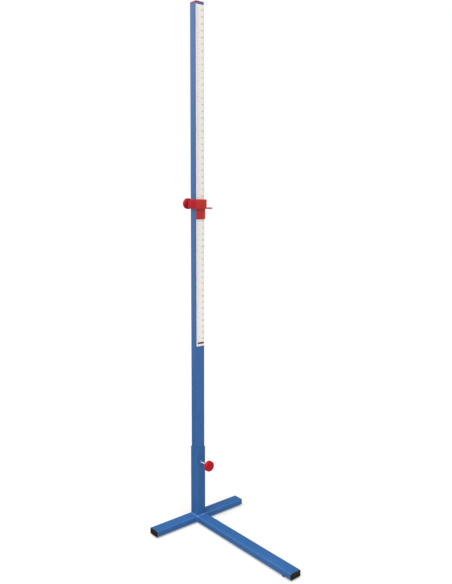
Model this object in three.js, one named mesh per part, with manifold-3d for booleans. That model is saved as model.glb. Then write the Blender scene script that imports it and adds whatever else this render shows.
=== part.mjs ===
// One high jump standard: a square upright clamped in the sleeve of a welded three-legged base,
// with a red slider that holds the crossbar rest and is clamped at any height on the scale.
// Millimetres, +Z up. The origin is on the floor, in the middle of the ground that the standard takes.
// +X runs along the long leg, and +Y points to the side where the crossbar lies.

import * as THREE from "three";
import { mergeVertices } from "three/addons/utils/BufferGeometryUtils.js";
import Module from "manifold-3d";

// Legs: two lengths of flat rectangular steel tube, butted together as a T.
const legWidth = 50;
const legHeight = 25;
const legWall = 2;
const legCorner = 4;
const crossLegLength = 454;
const longLegLength = 555;

// Sleeve: square tube that stands on the crossing and guides the upright.
const sleeveSize = 45;
const sleeveWall = 2;
const sleeveCorner = 3.5;
const sleeveHeight = 300;

// Upright: square tube that stands on the cross leg inside the sleeve.
const postSize = 40;
const postWall = 1.5;
const postCorner = 3;
const postLength = 2090;

// Scale: printed self-adhesive strip on the upright's front face, wrapped a little round its corners.
const stripThickness = 0.4;
const stripLength = 1346;
const stripTopMargin = 7.5;
const stripWrapShare = 2 / 3;

// Push-in plugs: a head as wide as the tube, and a hollow body with barbed ribs inside the tube.
const plugHead = 3;
const plugEdge = 1;
const plugReach = 18;
const plugShell = 1.6;
const plugRibs = 3;
const plugRibProud = 0.8;
const capHead = 5;
const capEdge = 1.5;

// Feet: rubber buttons, each pushed through a hole in the underside of a leg.
const footDiameter = 10;
const footHeight = 6;
const footEdge = 0.8;
const footStem = 5.4;
const footBarb = 7.4;
const footBarbLength = 4;
const footInset = 42;
const footPairSpread = 36;

// Weld beads.
const weldLeg = 2.5;

// Clamp screws: M8 stud with a hexagon head moulded into a round knob, and a soft tip that
// presses on the upright.
const screwDiameter = 8;
const screwChamfer = 0.8;
const hexFlats = 13;
const screwHead = 5.3;
const nutHeight = 6.5;
const nutChamferShare = 0.93;
const nutWeldSpread = 2.4;
const nutWeldHeight = 2.2;
const tipDiameter = 6.2;
const tipThickness = 2.5;
const tipPeg = 3;
const tipPegLength = 4;
const knobDiameter = 43;
const knobDepth = 15;
const knobSide = 6;
const knobSquareness = 3;
const knobShell = 3;
const knobRoof = 5;
const knobBackEdge = 1.2;
const knobHub = 19;
const knobHubLength = 8;
const knobRibs = 6;
const knobRibThickness = 2;
const knobRibInset = 2;
const baseKnobReach = 49.5;
const sliderKnobReach = 38;
const clampBelowSleeveTop = 64.5;

// Slider: moulded block that runs on the upright, with the crossbar shelf moulded to one side and
// the clamp screw in its back.
const sliderSize = 55;
const sliderHeight = 38;
const sliderCorner = 3;
const sliderEdge = 1.5;
const sliderPlay = 1;
const sliderLeadIn = 0.8;
const sliderRise = 1303;
const sliderScrewRise = 21;
const shelfWidth = 40;
const shelfReach = 37;
const shelfThickness = 6;
const shelfCorner = 5.5;
const shelfFillet = 2;
const thinNut = 4;

// Pointer: thin plate that hangs from a slot in the slider and reads on the scale.
const pointerWidth = 45;
const pointerThickness = 1.6;
const pointerDrop = 41.6;
const pointerSeat = 12;
const pointerPlay = 0.4;
const pointerBigCorner = 6.5;
const pointerSmallCorner = 1.5;

// Fits and cuts.
const gap = 0.3;
const cutOverrun = 5;
const leastCornerShare = 0.2;

// Facets.
const cornerSteps = 6;
const boreSteps = 3;
const edgeSteps = 3;
const knobFacets = 48;
const domeSteps = 9;
const screwFacets = 24;
const footFacets = 24;

const wasm = await Module();
wasm.setup();

// Shapes and solids.

// Rounded rectangle as points, counterclockwise from the middle of its +X side.
function roundedRect(width, depth, radius, steps = cornerSteps) {
  const quarters = [[1, 1], [-1, 1], [-1, -1], [1, -1]];
  return quarters.flatMap(([sideX, sideY], quarter) => {
    const centreX = sideX * (width / 2 - radius);
    const centreY = sideY * (depth / 2 - radius);
    return Array.from({ length: steps + 1 }, (_, step) => {
      const angle = ((quarter + step / steps) * Math.PI) / 2;
      return new THREE.Vector2(
        centreX + radius * Math.cos(angle),
        centreY + radius * Math.sin(angle),
      );
    });
  });
}

function hexagon(acrossFlats) {
  const radius = acrossFlats / 2 / Math.cos(Math.PI / 6);
  return Array.from({ length: 6 }, (_, corner) => {
    const angle = ((corner + 0.5) * Math.PI) / 3;
    return new THREE.Vector2(radius * Math.cos(angle), radius * Math.sin(angle));
  });
}

function prism(outline, bottom, top, hole) {
  const shape = new THREE.Shape(outline);
  if (hole) shape.holes.push(new THREE.Path(hole));
  const geometry = new THREE.ExtrudeGeometry(shape, { depth: top - bottom, bevelEnabled: false });
  return geometry.translate(0, 0, bottom);
}

// Closed skin through outlines of equal point count, stacked from the lowest to the highest.
function loft(rings) {
  const count = rings[0].outline.length;
  const last = (rings.length - 1) * count;
  const positions = rings.flatMap(({ outline, z }) => outline.flatMap((point) => [point.x, point.y, z]));
  const faces = [];
  for (let ring = 0; ring < last; ring += count) {
    for (let i = 0; i < count; i += 1) {
      const next = (i + 1) % count;
      faces.push(ring + i, ring + next, ring + count + next);
      faces.push(ring + i, ring + count + next, ring + count + i);
    }
  }
  for (const [a, b, c] of THREE.ShapeUtils.triangulateShape(rings[0].outline, [])) {
    faces.push(c, b, a);
  }
  for (const [a, b, c] of THREE.ShapeUtils.triangulateShape(rings.at(-1).outline, [])) {
    faces.push(last + a, last + b, last + c);
  }
  const geometry = new THREE.BufferGeometry();
  geometry.setAttribute("position", new THREE.Float32BufferAttribute(positions, 3));
  geometry.setIndex(faces);
  return geometry;
}

// Block with rounded upright corners, and rounded rims at its bottom and top where an edge is given.
function softBlock({ width, depth, corner, bottom, top, bottomEdge = 0, topEdge = 0 }) {
  const ringAt = (inset, z) => ({
    outline: roundedRect(
      width - 2 * inset,
      depth - 2 * inset,
      Math.max(corner - inset, corner * leastCornerShare),
    ),
    z,
  });
  const rim = (edge, z, side) => {
    if (!edge) return [ringAt(0, z)];
    return Array.from({ length: edgeSteps + 1 }, (_, step) => {
      const angle = ((step / edgeSteps) * Math.PI) / 2;
      const inset = edge * (1 - Math.cos(angle));
      return ringAt(inset, z + side * edge * (Math.sin(angle) - 1));
    });
  };
  return loft([...rim(bottomEdge, bottom, -1).reverse(), ...rim(topEdge, top, 1)]);
}

// Solid of revolution about Z, from a profile of [radius, z] pairs that runs upwards on the outside.
function revolve(profile, facets) {
  const points = profile.map(([radius, z]) => new THREE.Vector2(radius, z));
  const yToZ = new THREE.Matrix4().makeBasis(
    new THREE.Vector3(1, 0, 0),
    new THREE.Vector3(0, 0, 1),
    new THREE.Vector3(0, -1, 0),
  );
  return new THREE.LatheGeometry(points, facets).applyMatrix4(yToZ);
}

function rod(diameter, bottom, top, facets) {
  const radius = diameter / 2;
  return revolve([[0, bottom], [radius, bottom], [radius, top], [0, top]], facets);
}

// Turns a shape built along Z so that it runs along +X, with its width across.
function alongX(geometry) {
  return geometry.applyMatrix4(new THREE.Matrix4().makeBasis(
    new THREE.Vector3(0, 1, 0),
    new THREE.Vector3(0, 0, 1),
    new THREE.Vector3(1, 0, 0),
  ));
}

// Turns a shape built along Z so that it runs along -X.
function alongMinusX(geometry) {
  return geometry.applyMatrix4(new THREE.Matrix4().makeBasis(
    new THREE.Vector3(0, -1, 0),
    new THREE.Vector3(0, 0, 1),
    new THREE.Vector3(-1, 0, 0),
  ));
}

// Turns a shape built along Z so that it runs along +Y, with its width across.
function alongY(geometry) {
  return geometry.applyMatrix4(new THREE.Matrix4().makeBasis(
    new THREE.Vector3(-1, 0, 0),
    new THREE.Vector3(0, 0, 1),
    new THREE.Vector3(0, 1, 0),
  ));
}

// Turns a shape built along Z so that it runs along -Y.
function alongMinusY(geometry) {
  return geometry.applyMatrix4(new THREE.Matrix4().makeBasis(
    new THREE.Vector3(1, 0, 0),
    new THREE.Vector3(0, 0, 1),
    new THREE.Vector3(0, -1, 0),
  ));
}

function solid(geometry) {
  const bare = geometry.clone();
  bare.deleteAttribute("normal");
  bare.deleteAttribute("uv");
  const merged = mergeVertices(bare);
  return new wasm.Manifold(new wasm.Mesh({
    numProp: 3,
    vertProperties: merged.attributes.position.array,
    triVerts: new Uint32Array(merged.index.array),
  }));
}

function geometryOf(body) {
  const { vertProperties, triVerts } = body.getMesh();
  const geometry = new THREE.BufferGeometry();
  geometry.setAttribute("position", new THREE.BufferAttribute(vertProperties, 3));
  geometry.setIndex(new THREE.BufferAttribute(triVerts, 1));
  geometry.computeVertexNormals();
  return geometry;
}

function joined(first, ...others) {
  return geometryOf(others.reduce((body, other) => body.add(solid(other)), solid(first)));
}

function cut(first, ...cutters) {
  return geometryOf(cutters.reduce((body, cutter) => body.subtract(solid(cutter)), solid(first)));
}

function common(first, second) {
  return geometryOf(solid(first).intersect(solid(second)));
}

// Materials: each mesh gets its own.
const finishes = {
  bluePaint: { color: 0x3a6499, roughness: 0.45, metalness: 0 },
  redPlastic: { color: 0xb32a34, roughness: 0.4, metalness: 0 },
  blackPlastic: { color: 0x282321, roughness: 0.6, metalness: 0 },
  rubber: { color: 0x23201f, roughness: 0.85, metalness: 0 },
  zinc: { color: 0xc4c6c8, roughness: 0.35, metalness: 1 },
  nylon: { color: 0xe6e1d4, roughness: 0.5, metalness: 0 },
  whiteFilm: { color: 0xece8e1, roughness: 0.5, metalness: 0 },
};

function piece(name, geometry, finish) {
  const mesh = new THREE.Mesh(geometry, new THREE.MeshStandardMaterial(finishes[finish]));
  mesh.name = name;
  return mesh;
}

function placed(mesh, x, y, z) {
  mesh.position.set(x, y, z);
  return mesh;
}

// Base.

function legOutline(growth) {
  return roundedRect(legWidth + 2 * growth, legHeight + 2 * growth, legCorner + growth);
}

function legBore() {
  return roundedRect(legWidth - 2 * legWall, legHeight - 2 * legWall, legCorner - legWall, boreSteps);
}

function sleeveOutline(growth) {
  return roundedRect(sleeveSize + 2 * growth, sleeveSize + 2 * growth, sleeveCorner + growth);
}

// The space that both legs fill, grown all round, for what is shaped to them.
function legSpace(growth) {
  const half = crossLegLength / 2 + growth;
  const start = legWidth / 2 - growth;
  const cross = alongY(prism(legOutline(growth), -half, half));
  const long = alongX(prism(legOutline(growth), start, start + longLegLength));
  return joined(cross, long).translate(0, 0, legHeight / 2);
}

const footHole = footStem + 2 * gap;

function footHoleCutter(x, y) {
  return rod(footHole, -legHeight / 2 - cutOverrun, 0, footFacets).translate(x, y, 0);
}

function crossLeg() {
  const half = crossLegLength / 2;
  const tube = alongY(prism(legOutline(0), -half, half, legBore()));
  const footAt = half - footInset;
  const drilled = cut(tube, footHoleCutter(0, footAt), footHoleCutter(0, -footAt));
  return piece("cross_leg_tube", drilled, "bluePaint");
}

const longLegEnd = legWidth / 2 + longLegLength;

function longLeg() {
  const tube = alongX(prism(legOutline(0), legWidth / 2, longLegEnd, legBore()));
  const footAt = longLegEnd - footInset;
  const aside = footPairSpread / 2;
  const drilled = cut(tube, footHoleCutter(footAt, aside), footHoleCutter(footAt, -aside));
  return piece("long_leg_tube", drilled, "bluePaint");
}

function sleeve() {
  const bore = roundedRect(
    sleeveSize - 2 * sleeveWall,
    sleeveSize - 2 * sleeveWall,
    sleeveCorner - sleeveWall,
    boreSteps,
  );
  const tube = prism(sleeveOutline(0), 0, sleeveHeight, bore);
  const hole = alongX(rod(screwDiameter + 2 * gap, 0, sleeveSize / 2 + cutOverrun, screwFacets));
  hole.translate(0, 0, sleeveHeight - clampBelowSleeveTop);
  return piece("sleeve_tube", cut(tube, hole), "bluePaint");
}

// The bead round the sleeve's foot, with its lower side shaped to the legs.
function sleeveBead(growth) {
  return loft([
    { outline: sleeveOutline(weldLeg + growth), z: legHeight - legCorner },
    { outline: sleeveOutline(weldLeg + growth), z: legHeight + weldLeg / 4 + growth },
    { outline: sleeveOutline(weldLeg / 4 + growth), z: legHeight + weldLeg + growth },
  ]);
}

function sleeveWeld() {
  const inside = prism(sleeveOutline(0), legHeight, legHeight + weldLeg + cutOverrun);
  const under = prism(sleeveOutline(-gap), 0, legHeight + cutOverrun);
  return piece("sleeve_weld", cut(sleeveBead(0), inside, under, legSpace(gap)), "bluePaint");
}

// The bead where the long leg meets the side of the cross leg, dressed flush above and below.
function legWeld() {
  const joint = legWidth / 2;
  const outline = (growth) => roundedRect(legWidth + 2 * growth, legHeight, legCorner);
  const bead = alongX(loft([
    { outline: outline(weldLeg), z: joint - legCorner },
    { outline: outline(weldLeg), z: joint + weldLeg / 4 },
    { outline: outline(weldLeg / 4), z: joint + weldLeg },
  ])).translate(0, 0, legHeight / 2);
  return piece("leg_weld", cut(bead, legSpace(gap), sleeveBead(gap)), "bluePaint");
}

function hexNut(height, bore) {
  const corner = hexFlats / 2 / Math.cos(Math.PI / 6);
  const flat = corner * nutChamferShare;
  const slope = (corner - flat) / 2;
  const turned = revolve([
    [0, 0],
    [flat, 0],
    [corner, slope],
    [corner, height - slope],
    [flat, height],
    [0, height],
  ], screwFacets);
  const hex = prism(hexagon(hexFlats), -cutOverrun, height + cutOverrun);
  return cut(common(hex, turned), rod(bore, -cutOverrun, height + cutOverrun, screwFacets));
}

const screwHole = screwDiameter + 2 * gap;

function baseNut() {
  return piece("base_clamp_nut", alongX(hexNut(nutHeight, screwHole)), "bluePaint");
}

function baseNutWeld() {
  const bead = loft([
    { outline: hexagon(hexFlats + 2 * nutWeldSpread), z: 0 },
    { outline: hexagon(hexFlats + nutWeldSpread), z: nutWeldHeight / 2 },
    { outline: hexagon(hexFlats + 3 * gap), z: nutWeldHeight },
  ]);
  const nutSpace = prism(hexagon(hexFlats + 2 * gap), -cutOverrun, nutWeldHeight + cutOverrun);
  return piece("base_nut_weld", alongX(cut(bead, nutSpace)), "bluePaint");
}

// Push-in plug: its head starts at z 0 and goes up, and its hollow ribbed body hangs below.
function tubePlug({ width, depth, corner, wall, head, edge }) {
  const boreAt = (inset) => roundedRect(
    width - 2 * (wall + inset),
    depth - 2 * (wall + inset),
    corner - wall,
    boreSteps,
  );
  const core = gap + plugRibProud;
  const pitch = plugReach / (plugRibs + 0.5);
  const rings = [{ outline: boreAt(core), z: -plugReach }];
  for (let rib = plugRibs; rib > 0; rib -= 1) {
    const barb = -pitch * rib;
    rings.push({ outline: boreAt(core), z: barb });
    rings.push({ outline: boreAt(gap), z: barb + pitch / 2 });
    rings.push({ outline: boreAt(core), z: barb + pitch / 2 });
  }
  rings.push({ outline: boreAt(core), z: head / 2 });
  const top = softBlock({ width, depth, corner, bottom: 0, top: head, topEdge: edge });
  const pocket = prism(boreAt(core + plugShell), -plugReach - cutOverrun, -plugShell);
  return cut(joined(top, loft(rings)), pocket);
}

function legPlug() {
  return tubePlug({
    width: legWidth,
    depth: legHeight,
    corner: legCorner,
    wall: legWall,
    head: plugHead,
    edge: plugEdge,
  });
}

function postPlug(head, edge) {
  return tubePlug({
    width: postSize,
    depth: postSize,
    corner: postCorner,
    wall: postWall,
    head,
    edge,
  });
}

// Rubber foot, with z 0 at the underside of the leg and its barbed stem above.
function foot(name) {
  const radius = footDiameter / 2;
  const barbFrom = legWall + gap;
  const geometry = revolve([
    [0, -footHeight],
    [radius - footEdge, -footHeight],
    [radius, footEdge - footHeight],
    [radius, 0],
    [footStem / 2, 0],
    [footStem / 2, barbFrom],
    [footBarb / 2, barbFrom],
    [footStem / 2, barbFrom + footBarbLength],
    [0, barbFrom + footBarbLength],
  ], footFacets);
  return piece(name, geometry, "rubber");
}

// Clamp screws. Each is built along +Z, with z 0 at the face of the upright that it presses on.

const studStart = gap + tipThickness + gap;

function clampTip(name) {
  const geometry = revolve([
    [0, gap],
    [tipDiameter / 2, gap],
    [tipDiameter / 2, gap + tipThickness],
    [tipPeg / 2, gap + tipThickness],
    [tipPeg / 2, gap + tipThickness + tipPegLength],
    [0, gap + tipThickness + tipPegLength],
  ], screwFacets);
  return piece(name, geometry, "nylon");
}

const headInKnob = knobDepth - knobRoof - screwHead;

function clampStud(name, knobReach) {
  const radius = screwDiameter / 2;
  const socket = tipPeg / 2 + gap;
  const socketEnd = studStart + tipPegLength;
  const headFrom = knobReach + headInKnob;
  const shank = revolve([
    [0, socketEnd],
    [socket, socketEnd],
    [socket, studStart],
    [radius - screwChamfer, studStart],
    [radius, studStart + screwChamfer],
    [radius, headFrom + screwHead / 2],
    [0, headFrom + screwHead / 2],
  ], screwFacets);
  const head = prism(hexagon(hexFlats), headFrom, headFrom + screwHead);
  return piece(name, joined(shank, head), "zinc");
}

// Round moulded knob: domed front, hollow back, and ribs that join the hub to the rim.
function clampKnob(name, knobReach) {
  const rim = knobDiameter / 2;
  const inner = rim - knobShell;
  const hub = knobHub / 2;
  const power = 2 / knobSquareness;
  const dome = Array.from({ length: domeSteps + 1 }, (_, step) => {
    const angle = ((1 - step / domeSteps) * Math.PI) / 2;
    const rise = step === 0 ? 0 : Math.cos(angle) ** power;
    const spread = step === domeSteps ? 0 : Math.sin(angle) ** power;
    return [rim * spread, knobSide + (knobDepth - knobSide) * rise];
  });
  const floor = knobDepth - knobRoof;
  const body = revolve([
    [0, -knobHubLength],
    [hub, -knobHubLength],
    [hub, floor],
    [inner, floor],
    [inner, 0],
    [rim - knobBackEdge, 0],
    [rim, knobBackEdge],
    ...dome,
  ], knobFacets);
  const ribFrom = (hub + inner) / 2 - hub;
  const ribs = Array.from({ length: knobRibs }, (_, rib) => {
    const across = new THREE.BoxGeometry(2 * ribFrom + knobShell, knobRibThickness, floor);
    across.translate((hub + inner) / 2, 0, knobRibInset + floor / 2);
    return across.rotateZ((rib / knobRibs) * 2 * Math.PI);
  });
  const shank = rod(screwHole, -knobHubLength - cutOverrun, headInKnob, screwFacets);
  const headSpace = prism(
    hexagon(hexFlats + 2 * gap),
    headInKnob - gap,
    headInKnob + screwHead + gap,
  );
  const geometry = cut(joined(body, ...ribs), shank, headSpace);
  return placed(piece(name, geometry, "redPlastic"), 0, 0, knobReach);
}

// Three pieces of one clamp screw in their own group.
function clampScrew(prefix, knobReach) {
  const group = new THREE.Group();
  group.add(
    clampTip(`${prefix}_clamp_tip`),
    clampStud(`${prefix}_clamp_stud`, knobReach),
    clampKnob(`${prefix}_clamp_knob`, knobReach),
  );
  return group;
}

// Upright.

function upright() {
  const outline = roundedRect(postSize, postSize, postCorner);
  const inside = postSize - 2 * postWall;
  const bore = roundedRect(inside, inside, postCorner - postWall, boreSteps);
  return piece("upright_tube", prism(outline, 0, postLength, bore), "bluePaint");
}

// Strip section: the upright's front face and part of its two front corners, then back outside it.
function scaleStrip() {
  const wrapSteps = Math.round(cornerSteps * stripWrapShare);
  const side = (growth) => {
    const all = roundedRect(postSize + 2 * growth, postSize + 2 * growth, postCorner + growth);
    return [...all.slice(-wrapSteps - 1), ...all.slice(0, wrapSteps + 1)];
  };
  const section = [...side(stripThickness), ...side(0).reverse()];
  const top = postLength - stripTopMargin;
  return piece("scale_strip", prism(section, top - stripLength, top), "whiteFilm");
}

// Slider.

const sliderBore = postSize + 2 * sliderPlay;
const pointerBack = postSize / 2 + stripThickness + pointerPlay;

function boreCutter() {
  const at = (growth, z) => ({
    outline: roundedRect(sliderBore + 2 * growth, sliderBore + 2 * growth, postCorner + growth),
    z,
  });
  return loft([
    at(sliderLeadIn, -cutOverrun),
    at(sliderLeadIn, 0),
    at(0, sliderLeadIn),
    at(0, sliderHeight - sliderLeadIn),
    at(sliderLeadIn, sliderHeight),
    at(sliderLeadIn, sliderHeight + cutOverrun),
  ]);
}

function shelfPlate() {
  const depth = sliderSize / 2 + shelfReach;
  return softBlock({
    width: shelfWidth,
    depth,
    corner: shelfCorner,
    bottom: 0,
    top: shelfThickness,
    bottomEdge: sliderEdge,
    topEdge: sliderEdge,
  }).translate(0, depth / 2, 0);
}

// Concave fillet between the shelf and the side of the block.
function shelfRootFillet() {
  const length = shelfWidth - 2 * shelfFillet;
  const section = new THREE.Shape();
  section.moveTo(-shelfFillet, -shelfFillet);
  section.lineTo(shelfFillet, -shelfFillet);
  section.lineTo(shelfFillet, 0);
  section.absarc(shelfFillet, shelfFillet, shelfFillet, -Math.PI / 2, -Math.PI, true);
  section.lineTo(-shelfFillet, shelfFillet);
  const root = new THREE.ExtrudeGeometry(section, {
    depth: length,
    bevelEnabled: false,
    curveSegments: cornerSteps,
  });
  return alongX(root.translate(0, 0, -length / 2)).translate(0, sliderSize / 2, shelfThickness);
}

function pointerSlot() {
  const depth = pointerThickness + 2 * gap;
  const height = pointerSeat + gap + cutOverrun;
  const slot = new THREE.BoxGeometry(depth, pointerWidth + 2 * gap, height);
  return slot.translate(pointerBack + pointerThickness / 2, 0, height / 2 - cutOverrun);
}

function sliderBody() {
  const block = softBlock({
    width: sliderSize,
    depth: sliderSize,
    corner: sliderCorner,
    bottom: 0,
    top: sliderHeight,
    bottomEdge: sliderEdge,
    topEdge: sliderEdge,
  });
  const pocketEnd = sliderBore / 2 + thinNut + gap;
  const nutPocket = alongMinusX(prism(hexagon(hexFlats + 2 * gap), 0, pocketEnd));
  const hole = alongMinusX(rod(screwHole, 0, sliderSize / 2 + cutOverrun, screwFacets));
  const geometry = cut(
    joined(block, shelfPlate(), shelfRootFillet()),
    boreCutter(),
    pointerSlot(),
    nutPocket.translate(0, 0, sliderScrewRise),
    hole.translate(0, 0, sliderScrewRise),
  );
  return piece("slider_body", geometry, "redPlastic");
}

// Pointer plate, with a large lower corner on the crossbar side and a small one on the other.
function pointerPlate() {
  const half = pointerWidth / 2;
  const outline = new THREE.Shape();
  outline.moveTo(half, pointerSeat);
  outline.lineTo(-half, pointerSeat);
  outline.lineTo(-half, pointerSmallCorner - pointerDrop);
  outline.absarc(
    pointerSmallCorner - half,
    pointerSmallCorner - pointerDrop,
    pointerSmallCorner,
    Math.PI,
    1.5 * Math.PI,
    false,
  );
  outline.lineTo(half - pointerBigCorner, -pointerDrop);
  outline.absarc(
    half - pointerBigCorner,
    pointerBigCorner - pointerDrop,
    pointerBigCorner,
    1.5 * Math.PI,
    2 * Math.PI,
    false,
  );
  const plate = new THREE.ExtrudeGeometry(outline, {
    depth: pointerThickness,
    bevelEnabled: false,
    curveSegments: cornerSteps,
  });
  return placed(piece("pointer_plate", alongX(plate), "redPlastic"), pointerBack, 0, 0);
}

function sliderNut() {
  const nut = piece("slider_nut", alongMinusX(hexNut(thinNut, screwHole)), "zinc");
  return placed(nut, -sliderBore / 2, 0, sliderScrewRise);
}

// Assembly. Each group moves in the one that holds it, as the real pieces do.

const legMiddle = legHeight / 2;
const crossLegEnd = crossLegLength / 2;
const frontFootX = longLegEnd - footInset;
const sideFootY = crossLegEnd - footInset;

const leftPlug = piece("end_plug_left", alongMinusY(legPlug()), "blackPlastic");
const rightPlug = piece("end_plug_right", alongY(legPlug()), "blackPlastic");
const frontPlug = piece("end_plug_front", alongX(legPlug()), "blackPlastic");
const clampHeight = legHeight + sleeveHeight - clampBelowSleeveTop;

// Base and mast are built round the upright's axis, on the underside of the legs. The origin lies
// a foot's height lower, and halfway between the slider's knob and the front plug.
const backReach = postSize / 2 + sliderKnobReach + knobDepth;
const mastBehindOrigin = (longLegEnd + plugHead - backReach) / 2;

const base = new THREE.Group();
base.position.set(-mastBehindOrigin, 0, footHeight);
base.add(
  placed(crossLeg(), 0, 0, legMiddle),
  placed(longLeg(), 0, 0, legMiddle),
  placed(sleeve(), 0, 0, legHeight),
  sleeveWeld(),
  legWeld(),
  placed(baseNut(), sleeveSize / 2, 0, clampHeight),
  placed(baseNutWeld(), sleeveSize / 2, 0, clampHeight),
  placed(leftPlug, 0, -crossLegEnd, legMiddle),
  placed(rightPlug, 0, crossLegEnd, legMiddle),
  placed(frontPlug, longLegEnd, 0, legMiddle),
  placed(foot("foot_left"), 0, -sideFootY, 0),
  placed(foot("foot_right"), 0, sideFootY, 0),
  placed(foot("foot_front_left"), frontFootX, -footPairSpread / 2, 0),
  placed(foot("foot_front_right"), frontFootX, footPairSpread / 2, 0),
);

const baseScrew = clampScrew("base", baseKnobReach);
baseScrew.rotation.y = Math.PI / 2;
baseScrew.position.set(postSize / 2, 0, clampHeight);
base.add(baseScrew);

const sliderScrew = clampScrew("slider", sliderKnobReach);
sliderScrew.rotation.y = -Math.PI / 2;
sliderScrew.position.set(-postSize / 2, 0, sliderScrewRise);

const slider = new THREE.Group();
slider.position.z = sliderRise;
slider.add(sliderBody(), pointerPlate(), sliderNut(), sliderScrew);

const footPlug = piece("upright_bottom_plug", postPlug(plugHead, plugEdge), "blackPlastic");
footPlug.rotation.x = Math.PI;
const post = new THREE.Group();
post.position.z = plugHead;
post.add(
  upright(),
  footPlug,
  placed(piece("upright_cap", postPlug(capHead, capEdge), "redPlastic"), 0, 0, postLength),
  scaleStrip(),
);

const mast = new THREE.Group();
mast.position.set(-mastBehindOrigin, 0, footHeight + legHeight);
mast.add(post, slider);

const standard = new THREE.Group();
standard.name = "high_jump_standard";
standard.add(base, mast);

export default standard;
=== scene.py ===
import math

import bmesh
import bpy
from mathutils import Matrix, Vector


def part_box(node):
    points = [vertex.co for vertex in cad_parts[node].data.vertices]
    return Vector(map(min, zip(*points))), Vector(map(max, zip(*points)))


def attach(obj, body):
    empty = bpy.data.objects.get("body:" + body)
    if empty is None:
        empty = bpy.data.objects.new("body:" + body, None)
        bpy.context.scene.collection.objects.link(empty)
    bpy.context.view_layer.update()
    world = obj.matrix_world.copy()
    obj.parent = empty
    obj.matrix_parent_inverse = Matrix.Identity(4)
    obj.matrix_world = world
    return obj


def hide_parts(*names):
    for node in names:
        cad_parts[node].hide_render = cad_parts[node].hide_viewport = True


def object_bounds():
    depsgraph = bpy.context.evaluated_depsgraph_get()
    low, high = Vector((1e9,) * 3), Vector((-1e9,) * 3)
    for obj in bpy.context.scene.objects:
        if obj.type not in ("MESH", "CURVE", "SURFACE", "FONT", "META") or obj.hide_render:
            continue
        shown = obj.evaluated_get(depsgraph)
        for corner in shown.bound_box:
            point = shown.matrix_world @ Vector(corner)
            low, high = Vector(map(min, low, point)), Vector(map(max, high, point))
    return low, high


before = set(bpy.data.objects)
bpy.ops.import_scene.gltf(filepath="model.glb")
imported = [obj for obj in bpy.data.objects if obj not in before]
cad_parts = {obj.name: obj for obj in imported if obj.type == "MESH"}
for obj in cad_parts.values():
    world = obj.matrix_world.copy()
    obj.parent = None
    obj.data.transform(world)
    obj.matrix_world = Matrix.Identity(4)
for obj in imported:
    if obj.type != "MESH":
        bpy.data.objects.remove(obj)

# The box that the solid model fills.
cad_box = [list(corner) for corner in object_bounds()]


# Camera: a plain view from about the slider's height, past the end of the long leg, so that the
# front and the left side of the upright both show.
def photo_camera():
    place = Vector((1.80026, -1.56815, 1.34626))
    yaw, pitch, roll = (math.radians(degrees) for degrees in (140.0632, 7.7541, 0.1960))
    level = math.cos(pitch)
    ahead = Vector((math.cos(yaw) * level, math.sin(yaw) * level, -math.sin(pitch)))
    right = Vector((math.sin(yaw), -math.cos(yaw), 0))
    up = right.cross(ahead)
    right, up = (
        right * math.cos(roll) + up * math.sin(roll),
        up * math.cos(roll) - right * math.sin(roll),
    )
    lens = bpy.data.cameras.new("photo_lens")
    lens.lens = 38.968
    lens.sensor_width = 36
    lens.sensor_fit = "AUTO"
    lens.clip_start, lens.clip_end = 0.05, 60
    camera = bpy.data.objects.new("photo_camera", lens)
    turned = Matrix((right, up, -ahead)).transposed().to_4x4()
    camera.matrix_world = Matrix.Translation(place) @ turned
    bpy.context.collection.objects.link(camera)
    bpy.context.scene.camera = camera


photo_camera()


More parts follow.
